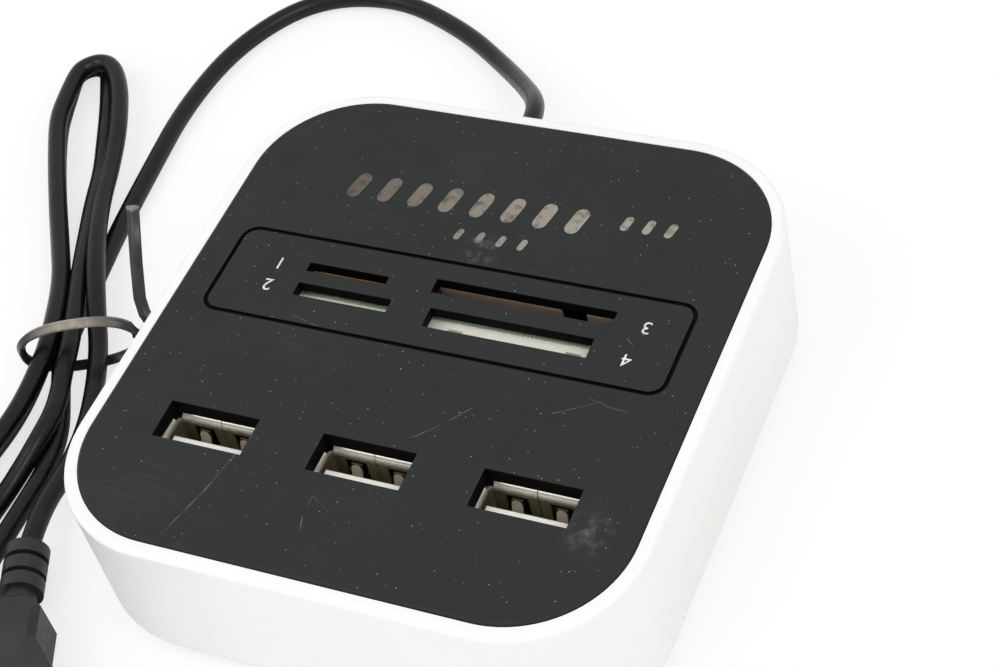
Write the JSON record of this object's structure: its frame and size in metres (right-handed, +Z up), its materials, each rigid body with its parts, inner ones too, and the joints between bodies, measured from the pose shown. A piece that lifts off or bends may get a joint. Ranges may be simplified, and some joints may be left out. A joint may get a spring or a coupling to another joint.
{
  "type": "usb hub card reader",
  "caption": "Desktop hub in a white case: upright type A sockets and card slots open in its dark top plate, and its cord is tied in a hank beside it.",
  "frame": {"origin": "on the table, under the middle of the case", "axes": "+X to the right, -Y towards the side with the upright sockets, +Y towards the cable outlet, +Z up"},
  "size_m": [0.1316, 0.161, 0.023],
  "materials": {
    "case_plastic": "glossy white moulding",
    "plate_plastic": "fine matt charcoal, lightly worn",
    "foot_rubber": "matt",
    "screw_steel": "zinc plated",
    "board_green": "solder mask over glass fibre",
    "connector_steel": "tin plated sheet",
    "connector_insulator": "cream white",
    "contact_gold": "gold plated",
    "socket_pale": "cream white",
    "socket_black": "matt black",
    "cover_steel": "dull warm grey sheet",
    "chip_black": "matt moulded",
    "crystal_can": "nickel plated",
    "capacitor_can": "sleeved can",
    "gland_rubber": "matt",
    "wire_jacket": "coloured wire sleeves",
    "cord_jacket": "soft black sheen",
    "tie_plastic": "black ribbon over wire",
    "plug_grip": "black moulded"
  },
  "bodies": {
    "root": {"case_shell": "case_plastic", "top_plate": "plate_plastic", "case_screws": "screw_steel", "main_board": "board_green", "reader_board": "board_green", "hub_chip": "chip_black", "reader_chip": "chip_black", "hub_crystal": "crystal_can", "reader_crystal": "crystal_can", "supply_capacitor": "capacitor_can", "cable_gland": "gland_rubber", "cable_wires": "wire_jacket", "cord_lead": "cord_jacket", "cord_tail": "cord_jacket", "cord_hank": "cord_jacket", "twist_tie": "tie_plastic", "plug_overmould": "plug_grip", "plug_shell": "connector_steel", "plug_insulator": "connector_insulator", "plug_contacts": "contact_gold", "foot_front_left": "foot_rubber", "foot_front_right": "foot_rubber", "foot_back_left": "foot_rubber", "foot_back_right": "foot_rubber", "left_port_shell": "connector_steel", "left_port_insulator": "connector_insulator", "left_port_contacts": "contact_gold", "middle_port_shell": "connector_steel", "middle_port_insulator": "connector_insulator", "middle_port_contacts": "contact_gold", "right_port_shell": "connector_steel", "right_port_insulator": "connector_insulator", "right_port_contacts": "contact_gold", "wide_card_frame": "socket_black", "wide_card_cover": "cover_steel", "wide_card_contacts": "contact_gold", "stick_card_frame": "socket_pale", "stick_card_cover": "cover_steel", "stick_card_contacts": "contact_gold", "small_card_frame": "socket_black", "small_card_cover": "cover_steel", "small_card_contacts": "contact_gold", "short_card_frame": "socket_pale", "short_card_cover": "cover_steel", "short_card_contacts": "contact_gold"}
  },
  "joints": []
}
